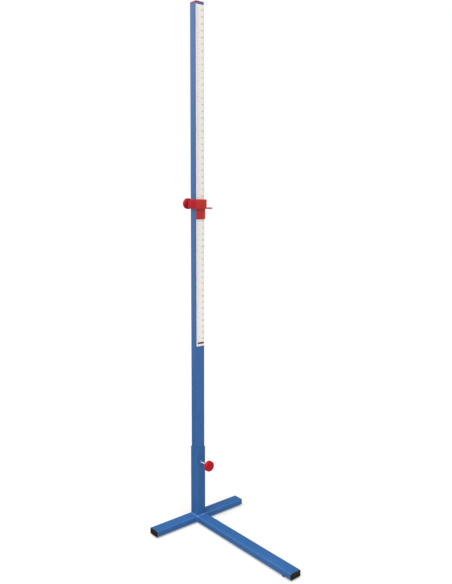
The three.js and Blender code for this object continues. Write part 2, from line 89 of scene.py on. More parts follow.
# Light: a white studio with an even room, one wide soft lamp overhead and a weaker one high on the
# left. Glossy faces mirror white walls to both sides, a dim ceiling, a dark wall behind the
# standard and a floor that is dull close by. The camera sees a white background.
def studio_room():
    scene = bpy.context.scene
    scene.view_settings.view_transform = "Standard"
    world = bpy.data.worlds.new("white_studio")
    scene.world = world
    world.use_nodes = True
    tree = world.node_tree
    tree.nodes.clear()
    direction = tree.nodes.new("ShaderNodeTexCoord")
    split = tree.nodes.new("ShaderNodeSeparateXYZ")
    tree.links.new(direction.outputs["Generated"], split.inputs[0])

    def smooth_ramp(value, low, high, first, last):
        ramp = tree.nodes.new("ShaderNodeMapRange")
        ramp.interpolation_type = "SMOOTHSTEP"
        for socket, number in zip(ramp.inputs[1:5], (low, high, first, last)):
            socket.default_value = number
        tree.links.new(value, ramp.inputs[0])
        return ramp.outputs[0]

    def towards(heading):
        along = tree.nodes.new("ShaderNodeVectorMath")
        along.operation = "DOT_PRODUCT"
        tree.links.new(direction.outputs["Generated"], along.inputs[0])
        along.inputs[1].default_value = heading
        return along.outputs["Value"]

    def product(first, second):
        node = tree.nodes.new("ShaderNodeMath")
        node.operation = "MULTIPLY"
        tree.links.new(first, node.inputs[0])
        tree.links.new(second, node.inputs[1])
        return node.outputs[0]

    height = split.outputs["Z"]
    to_the_left, to_the_back = (-0.3, -0.95, 0), (-0.4, 0.92, 0)
    more_on_left = smooth_ramp(towards(to_the_left), low=-0.9, high=0.9, first=0.62, last=0.92)
    more_above = smooth_ramp(height, low=-0.1, high=0.9, first=0.46, last=0.62)
    soft_light = product(more_above, more_on_left)
    bright_walls = smooth_ramp(height, low=0, high=0.45, first=0.85, last=3.2)
    dim_ceiling = smooth_ramp(height, low=0.35, high=0.6, first=1, last=0.15)
    dark_back = smooth_ramp(towards(to_the_back), low=0.3, high=0.75, first=1, last=0.05)
    mirrored = product(product(bright_walls, dim_ceiling), dark_back)
    rays = tree.nodes.new("ShaderNodeLightPath")
    seen = tree.nodes.new("ShaderNodeMix")
    tree.links.new(rays.outputs["Is Glossy Ray"], seen.inputs["Factor"])
    tree.links.new(soft_light, seen.inputs["A"])
    tree.links.new(mirrored, seen.inputs["B"])
    white = tree.nodes.new("ShaderNodeMix")
    tree.links.new(rays.outputs["Is Camera Ray"], white.inputs["Factor"])
    tree.links.new(seen.outputs["Result"], white.inputs["A"])
    white.inputs["B"].default_value = 1
    room = tree.nodes.new("ShaderNodeBackground")
    room.inputs["Color"].default_value = (1, 1, 1, 1)
    tree.links.new(white.outputs["Result"], room.inputs["Strength"])
    out = tree.nodes.new("ShaderNodeOutputWorld")
    tree.links.new(room.outputs[0], out.inputs["Surface"])


def soft_lamp(name, energy, spread, colour, heading):
    lamp = bpy.data.lights.new(name, "SUN")
    lamp.energy = energy
    lamp.angle = math.radians(spread)
    lamp.color = colour
    holder = bpy.data.objects.new(name, lamp)
    holder.rotation_mode = "QUATERNION"
    holder.rotation_quaternion = Vector(heading).to_track_quat("Z", "Y")
    bpy.context.collection.objects.link(holder)


studio_room()
soft_lamp("overhead_softbox", energy=2.5, spread=52,
          colour=(1, 0.985, 0.965), heading=(0.36, -0.25, 1))
soft_lamp("left_softbox", energy=0.7, spread=30,
          colour=(1, 1, 1), heading=(0.03, -0.6, 0.85))


# Floor: white studio paper on which the rubber feet stand. It shows white to the camera, apart
# from the soft shadows, and throws back most light near the standard, where the lamps light it.
def studio_floor():
    half_size, below_feet = 14, 0.0002
    mesh = bpy.data.meshes.new("studio_floor")
    corners = [(x * half_size, y * half_size, 0) for x, y in ((-1, -1), (1, -1), (1, 1), (-1, 1))]
    mesh.from_pydata(corners, [], [(0, 1, 2, 3)])
    floor = bpy.data.objects.new("studio_floor", mesh)
    floor.location.z = cad_box[0][2] - below_feet
    bpy.context.collection.objects.link(floor)

    paper = bpy.data.materials.new("studio_floor_white")
    paper.use_nodes = True
    tree = paper.node_tree
    tree.nodes.clear()
    shade = tree.nodes.new("ShaderNodeBsdfDiffuse")
    shade.inputs["Color"].default_value = (0.56, 0.552, 0.545, 1)
    glow = tree.nodes.new("ShaderNodeEmission")
    glow.inputs["Color"].default_value = (1, 1, 1, 1)
    glow.inputs["Strength"].default_value = 0.315
    seen = tree.nodes.new("ShaderNodeAddShader")
    tree.links.new(shade.outputs[0], seen.inputs[0])
    tree.links.new(glow.outputs[0], seen.inputs[1])

    def by_distance(centre, near, far, first, last):
        away = tree.nodes.new("ShaderNodeVectorMath")
        away.operation = "DISTANCE"
        tree.links.new(tree.nodes.new("ShaderNodeTexCoord").outputs["Object"], away.inputs[0])
        away.inputs[1].default_value = centre
        ramp = tree.nodes.new("ShaderNodeMapRange")
        tree.links.new(away.outputs["Value"], ramp.inputs[0])
        for socket, value in zip(ramp.inputs[1:5], (near, far, first, last)):
            socket.default_value = value
        return ramp.outputs[0]

    bounce = tree.nodes.new("ShaderNodeBsdfDiffuse")
    lit_near = by_distance(centre=(0, 0, 0), near=0.8, far=3.5, first=0.88, last=0.42)
    tree.links.new(lit_near, bounce.inputs["Color"])
    mirrored = tree.nodes.new("ShaderNodeEmission")
    mirrored.inputs["Color"].default_value = (1, 1, 1, 1)
    dull_near = by_distance(centre=(-0.8, -0.6, 0), near=0.75, far=6, first=0, last=1.25)
    tree.links.new(dull_near, mirrored.inputs["Strength"])
    rays = tree.nodes.new("ShaderNodeLightPath")
    unseen = tree.nodes.new("ShaderNodeMixShader")
    tree.links.new(rays.outputs["Is Glossy Ray"], unseen.inputs[0])
    tree.links.new(bounce.outputs[0], unseen.inputs[1])
    tree.links.new(mirrored.outputs[0], unseen.inputs[2])
    mixed = tree.nodes.new("ShaderNodeMixShader")
    tree.links.new(rays.outputs["Is Camera Ray"], mixed.inputs[0])
    tree.links.new(unseen.outputs[0], mixed.inputs[1])
    tree.links.new(seen.outputs[0], mixed.inputs[2])
    out = tree.nodes.new("ShaderNodeOutputMaterial")
    tree.links.new(mixed.outputs[0], out.inputs["Surface"])
    mesh.materials.append(paper)


studio_floor()


# Legs: two lengths of 50 x 25 mm flat steel tube, butted as a T and sprayed with blue powder that
# is baked on. The coat has a fine orange peel, thins on the edges, and gathers dust on top.
def effect_group(name, inputs, outputs):
    group = bpy.data.node_groups.new(name, "ShaderNodeTree")
    for socket, value in inputs.items():
        made = group.interface.new_socket(socket, in_out="INPUT", socket_type="NodeSocketFloat")
        made.default_value = value
    for socket in outputs:
        group.interface.new_socket(socket, in_out="OUTPUT", socket_type="NodeSocketFloat")
    entry = group.nodes.new("NodeGroupInput")
    leave = group.nodes.new("NodeGroupOutput")
    return group, entry.outputs, leave.inputs


def math_node(tree, operation, first, second, clamp=False):
    node = tree.nodes.new("ShaderNodeMath")
    node.operation = operation
    node.use_clamp = clamp
    for socket, value in zip(node.inputs, (first, second)):
        if isinstance(value, (int, float)):
            socket.default_value = value
        else:
            tree.links.new(value, socket)
    return node.outputs[0]


def noise_node(tree, scale, detail, roughness=0.5):
    noise = tree.nodes.new("ShaderNodeTexNoise")
    noise.inputs["Detail"].default_value = detail
    noise.inputs["Roughness"].default_value = roughness
    place = tree.nodes.new("ShaderNodeTexCoord").outputs["Object"]
    tree.links.new(place, noise.inputs["Vector"])
    tree.links.new(scale, noise.inputs["Scale"])
    return noise.outputs["Fac"]


def range_node(tree, value, low, high, dim=0.0, bright=1.0):
    ramp = tree.nodes.new("ShaderNodeMapRange")
    tree.links.new(value, ramp.inputs[0])
    for socket, number in zip(ramp.inputs[1:5], (low, high, dim, bright)):
        if isinstance(number, (int, float)):
            socket.default_value = number
        else:
            tree.links.new(number, socket)
    return ramp.outputs[0]


# Orange peel and cloudiness of a sprayed or moulded skin.
def surface_skin_group():
    group, given, out = effect_group(
        "surface_skin", {"Grain Size": 900.0, "Cloud Size": 9.0}, ("Height", "Cloud"))
    peel = noise_node(group, given["Grain Size"], 2)
    cloud = noise_node(group, given["Cloud Size"], 4, 0.6)
    group.links.new(peel, out["Height"])
    group.links.new(range_node(group, cloud, 0.3, 0.7), out["Cloud"])
    return group


# Where an outer edge has been rubbed: the edge itself, broken up by a noise.
def rubbed_edge_group():
    group, given, out = effect_group(
        "rubbed_edge", {"Edge Width": 0.002, "Patch Size": 60.0, "Amount": 0.5}, ("Mask",))
    rounded = group.nodes.new("ShaderNodeBevel")
    rounded.samples = 6
    group.links.new(given["Edge Width"], rounded.inputs["Radius"])
    plain = group.nodes.new("ShaderNodeNewGeometry")
    facing = group.nodes.new("ShaderNodeVectorMath")
    facing.operation = "DOT_PRODUCT"
    group.links.new(rounded.outputs[0], facing.inputs[0])
    group.links.new(plain.outputs["Normal"], facing.inputs[1])
    flat, turned = 0.985, 0.88
    edge = range_node(group, facing.outputs["Value"], flat, turned)
    rarest, reach, softness = 0.75, 0.5, 0.12
    patches = noise_node(group, given["Patch Size"], 5, 0.65)
    more = math_node(group, "MULTIPLY", given["Amount"], reach)
    threshold = math_node(group, "SUBTRACT", rarest, more)
    broken = range_node(group, patches, threshold, math_node(group, "ADD", threshold, softness))
    group.links.new(math_node(group, "MULTIPLY", edge, broken, True), out["Mask"])
    return group


# Dust that has settled on what faces up, thinner where it has been wiped.
def settled_dust_group():
    group, given, out = effect_group(
        "settled_dust", {"Patch Size": 14.0, "Amount": 0.5}, ("Mask",))
    shape = group.nodes.new("ShaderNodeNewGeometry")
    split = group.nodes.new("ShaderNodeSeparateXYZ")
    group.links.new(shape.outputs["Normal"], split.inputs[0])
    steepest, level = 0.35, 1.0
    up = range_node(group, split.outputs["Z"], steepest, level)
    bare, covered = 0.35, 0.75
    patches = noise_node(group, given["Patch Size"], 6, 0.7)
    left = math_node(group, "MULTIPLY", up, range_node(group, patches, bare, covered))
    group.links.new(math_node(group, "MULTIPLY", left, given["Amount"], True), out["Mask"])
    return group


surface_skin = surface_skin_group()
rubbed_edge = rubbed_edge_group()
settled_dust = settled_dust_group()


def placed_group(tree, group, **values):
    node = tree.nodes.new("ShaderNodeGroup")
    node.node_tree = group
    for socket, value in values.items():
        node.inputs[socket.replace("_", " ")].default_value = value
    return node.outputs


def mixed_colour(tree, share, first, second):
    node = tree.nodes.new("ShaderNodeMix")
    node.data_type = "RGBA"
    tree.links.new(share, node.inputs["Factor"])
    sockets = [socket for socket in node.inputs if socket.type == "RGBA"]
    for socket, colour in zip(sockets, (first, second)):
        if isinstance(colour, tuple):
            socket.default_value = (*colour, 1)
        else:
            tree.links.new(colour, socket)
    return [socket for socket in node.outputs if socket.type == "RGBA"][0]


def bare_material(name, roughness, specular=0.5, metallic=0.0, coat=0.0, coat_roughness=0.1):
    material = bpy.data.materials.new(name)
    material.use_nodes = True
    shader = material.node_tree.nodes["Principled BSDF"]
    shader.inputs["Roughness"].default_value = roughness
    shader.inputs["Specular IOR Level"].default_value = specular
    shader.inputs["Metallic"].default_value = metallic
    shader.inputs["Coat Weight"].default_value = coat
    shader.inputs["Coat Roughness"].default_value = coat_roughness
    return material, material.node_tree, shader


def bumped(tree, shader, height, distance, strength=1.0):
    bump = tree.nodes.new("ShaderNodeBump")
    bump.inputs["Distance"].default_value = distance
    bump.inputs["Strength"].default_value = strength
    tree.links.new(height, bump.inputs["Height"])
    tree.links.new(bump.outputs[0], shader.inputs["Normal"])


def powder_coat(name, low, high):
    material, tree, shader = bare_material(name, 0.36, specular=0.75)
    shader.inputs["Specular Tint"].default_value = (0.65, 0.65, 1, 1)
    skin = placed_group(tree, surface_skin, Grain_Size=750, Cloud_Size=7)
    rubbed = placed_group(tree, rubbed_edge, Edge_Width=0.0022, Patch_Size=45, Amount=0.35)
    dust = placed_group(tree, settled_dust, Patch_Size=16, Amount=0.02)
    coat = mixed_colour(tree, skin["Cloud"], low, high)
    thin = mixed_colour(tree, rubbed["Mask"], coat, (0.05, 0.15, 0.36))
    dusted = mixed_colour(tree, dust["Mask"], thin, (0.33, 0.36, 0.42))
    tree.links.new(dusted, shader.inputs["Base Color"])
    dull = range_node(tree, skin["Cloud"], 0, 1, 0.33, 0.42)
    dust_dulls = math_node(tree, "MULTIPLY", dust["Mask"], 0.5)
    tree.links.new(math_node(tree, "ADD", dull, dust_dulls), shader.inputs["Roughness"])
    bumped(tree, shader, skin["Height"], 0.00006, 0.6)
    return material


blue_paint = powder_coat("blue_powder_coat", (0.021, 0.112, 0.314), (0.026, 0.122, 0.336))


# The solids' faces are joined and shaded round across small steps, and kept sharp at real edges.
def joined_faces_modifier():
    same_place, sharpest_round = 0.000004, math.radians(32)
    group = bpy.data.node_groups.new("joined_faces", "GeometryNodeTree")
    group.interface.new_socket("Geometry", in_out="INPUT", socket_type="NodeSocketGeometry")
    group.interface.new_socket("Geometry", in_out="OUTPUT", socket_type="NodeSocketGeometry")
    entry = group.nodes.new("NodeGroupInput")
    leave = group.nodes.new("NodeGroupOutput")
    merge = group.nodes.new("GeometryNodeMergeByDistance")
    merge.inputs["Distance"].default_value = same_place
    bare = group.nodes.new("GeometryNodeRemoveAttribute")
    bare.inputs["Name"].default_value = "custom_normal"
    angle = group.nodes.new("GeometryNodeInputMeshEdgeAngle")
    small = group.nodes.new("FunctionNodeCompare")
    small.operation = "LESS_THAN"
    small.inputs[1].default_value = sharpest_round
    faces = group.nodes.new("GeometryNodeSetShadeSmooth")
    faces.domain = "FACE"
    edges = group.nodes.new("GeometryNodeSetShadeSmooth")
    edges.domain = "EDGE"
    links = group.links
    links.new(entry.outputs[0], merge.inputs["Geometry"])
    links.new(merge.outputs[0], bare.inputs["Geometry"])
    links.new(bare.outputs[0], faces.inputs["Geometry"])
    links.new(angle.outputs["Unsigned Angle"], small.inputs[0])
    links.new(faces.outputs[0], edges.inputs["Geometry"])
    links.new(small.outputs[0], edges.inputs["Shade Smooth"])
    links.new(edges.outputs[0], leave.inputs[0])
    return group


joined_faces = joined_faces_modifier()


def dress(node, material):
    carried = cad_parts[node]
    carried.modifiers.new("joined_faces", "NODES").node_group = joined_faces
    for place in range(len(carried.data.materials)):
        carried.material_slots[place].link = "OBJECT"
        carried.material_slots[place].material = material


for leg in ("cross_leg_tube", "long_leg_tube"):
    dress(leg, blue_paint)


# Leg weld: the bead of a wire welder where the long leg meets the side of the cross leg. It is
# rippled on the sides, ground nearly flush above and below, and painted with the legs. The beads
# are painted a paler blue: a painted sheen for the light that their rounded tops catch.
# A blue a little paler than the legs' coat: painted sheen for the light on the beads' rounded tops.
weld_paint_painted_sheen = powder_coat("weld_coat_painted_sheen", (0.055, 0.155, 0.36), (0.085, 0.19, 0.40))


def joined_rings(body, first, second):
    for place in range(len(first)):
        beside = (place + 1) % len(first)
        body.faces.new((first[place], first[beside], second[beside], second[place]))


def finished_piece(name, body, material):
    bmesh.ops.recalc_face_normals(body, faces=body.faces)
    mesh = bpy.data.meshes.new(name)
    body.to_mesh(mesh)
    body.free()
    for polygon in mesh.polygons:
        polygon.use_smooth = True
    mesh.materials.append(material)
    piece = bpy.data.objects.new(name, mesh)
    bpy.context.collection.objects.link(piece)
    return piece


def swept_bead(name, stations, sections, ripple, pitch):
    """One closed bead. Each station is a place, an outward and a rising direction."""
    mean_wave, uneven, uneven_rate, slant = 0.6, 0.35, 911.0, 0.7
    body = bmesh.new()
    rings = []
    travelled = 0.0
    last = stations[0][0]
    for (place, out, rise), section in zip(stations, sections):
        travelled += (place - last).length
        last = place
        wave = abs(math.sin(math.pi * travelled / pitch))
        swell = ripple * (wave - mean_wave) + uneven * ripple * math.sin(travelled * uneven_rate)
        ring = []
        for far, high, outer in section:
            push = slant * swell if outer else 0.0
            ring.append(body.verts.new(place + out * (far + push) + rise * (high + push)))
        rings.append(ring)
    for first, second in zip(rings, rings[1:] + rings[:1]):
        joined_rings(body, first, second)
    # Every bead takes the paler weld blue, which is a painted sheen.
    return finished_piece(name, body, weld_paint_painted_sheen)


def corner_outline(width, height, radius, step):
    """Points of a rounded rectangle with their outward directions, about one step apart."""
    across, along = width / 2 - radius, height / 2 - radius
    centres = ((across, along), (-across, along), (-across, -along), (across, -along))
    turns = round(radius * math.pi / 2 / step)
    points = []
    for quarter, (x, y) in enumerate(centres):
        for turn in range(turns + 1):
            angle = (quarter + turn / turns) * math.pi / 2
            out = (math.cos(angle), math.sin(angle))
            points.append(((x + out[0] * radius, y + out[1] * radius), out))
        start = points[-1][0]
        next_x, next_y = centres[(quarter + 1) % 4]
        goal = (next_x + out[0] * radius, next_y + out[1] * radius)
        run = math.dist(start, goal)
        for part in range(1, round(run / step)):
            share = part * step / run
            points.append(((start[0] + (goal[0] - start[0]) * share,
                            start[1] + (goal[1] - start[1]) * share), out))
    return points


def blended(first, second, share):
    return [
        (a[0] + (b[0] - a[0]) * share, a[1] + (b[1] - a[1]) * share, a[2])
        for a, b in zip(first, second)
    ]


def leg_weld():
    leg_corner, step = 0.004, 0.00032
    low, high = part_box("long_leg_tube")
    joint_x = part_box("cross_leg_tube")[1].x
    middle = (low.z + high.z) / 2
    on_side = [(0.0026, -0.0002, True), (0.0017, 0.0009, True), (0.0009, 0.0017, True),
               (-0.0001, 0.0026, True), (-0.0006, 0.0020, False), (-0.0006, -0.0003, False)]
    on_top = [(0.0001, -0.0042, True), (0.0004, -0.0022, True), (0.00045, 0.0004, True),
              (0.0000, 0.0024, True), (-0.0006, 0.0020, False), (-0.0030, -0.0012, False)]
    stations, sections = [], []
    outline = corner_outline(high.y - low.y, high.z - low.z, leg_corner, step)
    for (y, z), (out_y, out_z) in outline:
        place = Vector((joint_x, y, middle + z))
        stations.append((place, Vector((0, out_y, out_z)), Vector((1, 0, 0))))
        sections.append(blended(on_side, on_top, abs(out_z) ** 2))
    bead = swept_bead("leg_weld_bead", stations, sections, ripple=0.00022, pitch=0.0019)
    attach(bead, "base")
    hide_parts("leg_weld")


leg_weld()


# Sleeve: 45 mm square tube welded upright on the crossing, open at the top for the upright. A bead
# runs round its foot, and both have the legs' paint, the bead's paler with a painted sheen.
def sleeve_bead():
    sleeve_corner, step = 0.0035, 0.00032
    long_leg_reach, easing = 0.0205, 0.002
    low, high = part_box("sleeve_tube")
    leg_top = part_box("cross_leg_tube")[1].z
    centre = (low + high) / 2
    on_flat = [(-0.0005, 0.0024, False), (0.0001, 0.0026, True), (0.0010, 0.0018, True),
               (0.0018, 0.0009, True), (0.0026, 0.0001, True), (0.0022, -0.0005, False),
               (-0.0005, -0.0005, False)]
    on_shoulder = [(-0.0005, 0.0024, False), (0.0001, 0.0025, True), (0.0009, 0.0013, True),
                   (0.0016, -0.0001, True), (0.0023, -0.0019, True), (0.0014, -0.0022, False),
                   (-0.0005, -0.0010, False)]
    stations, sections = [], []
    outline = corner_outline(high.x - low.x, high.y - low.y, sleeve_corner, step)
    for (x, y), (out_x, out_y) in outline:
        place = Vector((centre.x + x, y, leg_top))
        stations.append((place, Vector((out_x, out_y, 0)), Vector((0, 0, 1))))
        over_long_leg = max(0.0, min(1.0, (long_leg_reach - abs(y)) / easing)) if x > 0 else 0.0
        shoulder = abs(out_x) ** 2 * (1 - over_long_leg)
        sections.append(blended(on_flat, on_shoulder, shoulder))
    bead = swept_bead("sleeve_foot_bead", stations, sections, ripple=0.00024, pitch=0.0018)
    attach(bead, "base")
    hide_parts("sleeve_weld")


dress("sleeve_tube", blue_paint)
sleeve_bead()


# Clamp nut: an M8 hexagon nut tacked to the sleeve's front over a drilled hole, so that the clamp
# screw can press on the upright. A ring of weld holds it, and it was painted with the sleeve.
def nut_bead():
    low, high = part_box("base_nut_weld")
    centre = Vector((low.x, 0, (low.z + high.z) / 2))
    section = [(-0.0016, 0.0024, False), (-0.0009, 0.0024, True), (0.0000, 0.0019, True),
               (0.0008, 0.0011, True), (0.0014, 0.0002, True), (0.0010, -0.0003, False),
               (-0.0016, -0.0003, False)]
    count, radius, along_flats, unsteady = 150, 0.0074, 0.0003, 0.0002
    stations = []
    for number in range(count):
        angle = number / count * 2 * math.pi
        out = Vector((0, math.cos(angle), math.sin(angle)))
        hexagonal = along_flats * math.cos(6 * angle + math.pi)
        by_hand = unsteady * math.sin(angle * 2 + 1)
        stations.append((centre + out * (radius + hexagonal + by_hand), out, Vector((1, 0, 0))))
    bead = swept_bead("nut_bead", stations, [section] * count, ripple=0.00028, pitch=0.0021)
    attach(bead, "base")
    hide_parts("base_nut_weld")


# The nut and its weld ring take the paler weld blue, a painted sheen on their raised faces.
dress("base_clamp_nut", weld_paint_painted_sheen)
nut_bead()


# End plugs: moulded in black polyethylene and pushed into the legs' ends. Barbed ribs inside the
# tube hold them, and their heads are scuffed a little grey.
def black_moulding():
    material, tree, shader = bare_material("black_moulding", 0.5)
    skin = placed_group(tree, surface_skin, Grain_Size=1500, Cloud_Size=30)
    rubbed = placed_group(tree, rubbed_edge, Edge_Width=0.0015, Patch_Size=120, Amount=0.75)
    dust = placed_group(tree, settled_dust, Patch_Size=60, Amount=0.25)
    body = mixed_colour(tree, skin["Cloud"], (0.0085, 0.0068, 0.0058), (0.0125, 0.0100, 0.0086))
    scuffed = mixed_colour(tree, rubbed["Mask"], body, (0.04, 0.036, 0.033))
    dusted = mixed_colour(tree, dust["Mask"], scuffed, (0.16, 0.15, 0.14))
    tree.links.new(dusted, shader.inputs["Base Color"])
    tree.links.new(range_node(tree, skin["Cloud"], 0, 1, 0.42, 0.6), shader.inputs["Roughness"])
    bumped(tree, shader, skin["Height"], 0.00005, 0.8)
    return material


black_plastic = black_moulding()
for plug in ("end_plug_left", "end_plug_right", "end_plug_front"):
    dress(plug, black_plastic)


# Feet: black rubber buttons pushed through holes in the legs' undersides. They keep the painted
# tube off the ground, and their lower edges are worn and dusty.
def foot_rubber():
    material, tree, shader = bare_material("foot_rubber", 0.8, specular=0.35)
    skin = placed_group(tree, surface_skin, Grain_Size=2200, Cloud_Size=90)
    rubbed = placed_group(tree, rubbed_edge, Edge_Width=0.0014, Patch_Size=200, Amount=0.9)
    body = mixed_colour(tree, skin["Cloud"], (0.011, 0.0105, 0.010), (0.019, 0.018, 0.017))
    worn = mixed_colour(tree, rubbed["Mask"], body, (0.07, 0.066, 0.06))
    tree.links.new(worn, shader.inputs["Base Color"])
    tree.links.new(range_node(tree, skin["Cloud"], 0, 1, 0.72, 0.9), shader.inputs["Roughness"])
    bumped(tree, shader, skin["Height"], 0.00008, 0.9)
    return material


rubber = foot_rubber()
for foot in ("foot_left", "foot_right", "foot_front_left", "foot_front_right"):
    dress(foot, rubber)


# Clamp screws: a zinc-plated M8 bolt with a rolled thread, whose hexagon head is moulded into the
# knob. A white nylon tip with a peg sits in its end and spares the upright's paint.
def zinc_plate():
    material, tree, shader = bare_material("zinc_plate", 0.3, metallic=1.0)
    skin = placed_group(tree, surface_skin, Grain_Size=2600, Cloud_Size=140)
    rubbed = placed_group(tree, rubbed_edge, Edge_Width=0.0004, Patch_Size=300, Amount=0.8)
    plate = mixed_colour(tree, skin["Cloud"], (0.40, 0.405, 0.41), (0.50, 0.50, 0.49))
    bright = mixed_colour(tree, rubbed["Mask"], plate, (0.68, 0.68, 0.67))
    tree.links.new(bright, shader.inputs["Base Color"])
    tree.links.new(range_node(tree, skin["Cloud"], 0, 1, 0.34, 0.48), shader.inputs["Roughness"])
    bumped(tree, shader, skin["Height"], 0.00003, 0.6)
    return material


def white_nylon():
    material, tree, shader = bare_material("white_nylon", 0.45)
    skin = placed_group(tree, surface_skin, Grain_Size=1800, Cloud_Size=120)
    body = mixed_colour(tree, skin["Cloud"], (0.72, 0.68, 0.58), (0.82, 0.79, 0.71))
    tree.links.new(body, shader.inputs["Base Color"])
    tree.links.new(range_node(tree, skin["Cloud"], 0, 1, 0.38, 0.52), shader.inputs["Roughness"])
    bumped(tree, shader, skin["Height"], 0.00004, 0.6)
    return material


zinc = zinc_plate()
nylon = white_nylon()


def screw_place(side):
    """Where a clamp screw starts on the upright's face, and the turn that lays +Z along it."""
    post_low, post_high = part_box("upright_tube")
    low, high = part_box(f"{side}_clamp_tip")
    middle = (low + high) / 2
    face, turn = (post_high.x, math.pi / 2) if side == "base" else (post_low.x, -math.pi / 2)
    return Matrix.Translation((face, middle.y, middle.z)) @ Matrix.Rotation(turn, 4, "Y")


def ring_of(body, radii, height):
    turns = [number / len(radii) * 2 * math.pi for number in range(len(radii))]
    return [body.verts.new((radius * math.cos(turn), radius * math.sin(turn), height))
            for radius, turn in zip(radii, turns)]


def closed_stack(body, rings):
    for first, second in zip(rings, rings[1:]):
        joined_rings(body, first, second)
    body.faces.new(rings[0])
    body.faces.new(list(reversed(rings[-1])))


def clamp_stud(side, reach):
    around = 36
    pitch, crest, root = 0.00125, 0.004, 0.00335
    flank_slope, root_land, steps_per_pitch = 2.6, 0.15, 10
    start, start_share, start_taper = 0.0031, 0.35, 0.1
    socket, socket_end = 0.0018, 0.0071
    head_from, head_high, flats = reach + 0.0047, 0.0053, 0.013
    head_chamfer, chamfer_share = 0.0004, 0.94

    def thread_radii(height):
        near_end = min(1.0, start_share + (height - start) / pitch * (1 - start_share))
        taper = 1 - start_taper + start_taper * near_end
        radii = []
        for number in range(around):
            phase = (height / pitch - number / around) % 1.0
            rise = max(0.0, min(1.0, (0.5 - abs(phase - 0.5)) * flank_slope - root_land))
            radii.append((root + (crest - root) * rise) * taper)
        return radii

    body = bmesh.new()
    rings = [ring_of(body, [socket] * around, height) for height in (socket_end, start)]
    steps = round((head_from - start) / pitch * steps_per_pitch)
    for step in range(steps + 1):
        height = start + (head_from - start) * step / steps
        rings.append(ring_of(body, thread_radii(height), height))
    closed_stack(body, rings)
    corner = flats / 2 / math.cos(math.pi / 6)
    head = ((0, chamfer_share), (head_chamfer, 1),
            (head_high - head_chamfer, 1), (head_high, chamfer_share))
    closed_stack(body, [ring_of(body, [corner * share] * 6, head_from + rise)
                        for rise, share in head])
    stud = finished_piece(f"{side}_threaded_stud", body, zinc)
    stud.data.set_sharp_from_angle(angle=math.radians(50))
    stud.matrix_world = screw_place(side)
    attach(stud, f"{side}_clamp_screw")
    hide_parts(f"{side}_clamp_stud")


# How far the back of each knob's rim stands from the upright's face.
knob_reach = {"base": 0.0495, "slider": 0.038}
for side, reach in knob_reach.items():
    dress(f"{side}_clamp_tip", nylon)
    clamp_stud(side, reach)


# Clamp knobs: round hand knobs moulded in red plastic over the bolts' heads. The front is domed,
# the back swells a little towards the hub, and a moulding line runs round the rim.
def red_moulding(name):
    material, tree, shader = bare_material(name, 0.3, specular=0.12)
    skin = placed_group(tree, surface_skin, Grain_Size=1100, Cloud_Size=22)
    rubbed = placed_group(tree, rubbed_edge, Edge_Width=0.0012, Patch_Size=110, Amount=0.2)
    dust = placed_group(tree, settled_dust, Patch_Size=50, Amount=0.03)
    body = mixed_colour(tree, skin["Cloud"], (0.435, 0.005, 0.0155), (0.46, 0.008, 0.0185))
    scuffed = mixed_colour(tree, rubbed["Mask"], body, (0.50, 0.03, 0.035))
    dusted = mixed_colour(tree, dust["Mask"], scuffed, (0.5, 0.3, 0.27))
    tree.links.new(dusted, shader.inputs["Base Color"])
    tree.links.new(range_node(tree, skin["Cloud"], 0, 1, 0.27, 0.36), shader.inputs["Roughness"])
    bumped(tree, shader, skin["Height"], 0.00003, 0.6)
    return material


red_plastic = red_moulding("red_moulding")


def knob_outline():
    """Radius and height from the shank's hole, round the hub, back, rim and front, to the peak."""
    rim, deep, side, rounding = 0.0221, 0.015, 0.006, 0.0012
    hub, hub_long, hub_edge, shank, shank_deep = 0.0095, 0.008, 0.0006, 0.0043, 0.004
    outline = [(shank, shank_deep), (shank, -hub_long), (hub - hub_edge, -hub_long),
               (hub, hub_edge - hub_long)]
    root, swell, lean, back_steps, edge_steps = hub + 0.0004, 0.0055, 0.78, 10, 6
    centre = rim - rounding
    edge, edge_high = centre + rounding * math.sin(lean), rounding - rounding * math.cos(lean)
    for step in range(back_steps):
        share = step / back_steps
        outline.append((root + (edge - root) * share, edge_high - swell * (1 - share ** 2)))
    for step in range(edge_steps + 1):
        angle = (lean - math.pi / 2) * (1 - step / edge_steps)
        outline.append((centre + rounding * math.cos(angle), rounding + rounding * math.sin(angle)))
    line = rim + 0.00008
    outline += [(rim, 0.0029), (line, 0.0031), (line, 0.0034), (rim, 0.0036)]
    squareness, dome_steps = 0.36, 22
    for step in range(dome_steps):
        angle = (1 - step / dome_steps) * math.pi / 2
        rise = max(0.0, math.cos(angle)) ** squareness
        outline.append((rim * math.sin(angle) ** squareness, side + (deep - side) * rise))
    return outline, deep


def clamp_knob(side, reach):
    around = 96
    outline, deep = knob_outline()
    body = bmesh.new()
    rings = [ring_of(body, [radius] * around, height) for radius, height in outline]
    for first, second in zip(rings, rings[1:]):
        joined_rings(body, first, second)
    peak = body.verts.new((0, 0, deep))
    for turn in range(around):
        body.faces.new((rings[-1][turn], rings[-1][(turn + 1) % around], peak))
    body.faces.new(list(reversed(rings[0])))
    knob = finished_piece(f"{side}_hand_knob", body, red_plastic)
    knob.data.set_sharp_from_angle(angle=math.radians(40))
    knob.matrix_world = screw_place(side) @ Matrix.Translation((0, 0, reach))
    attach(knob, f"{side}_clamp_screw")
    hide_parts(f"{side}_clamp_knob")


for side, reach in knob_reach.items():
    clamp_knob(side, reach)


# Upright: 40 mm square tube, painted as the base is. A black plug closes the end that stands on
# the cross leg, and a red cap closes the top.
dress("upright_tube", blue_paint)
dress("upright_bottom_plug", black_plastic)
dress("upright_cap", red_plastic)


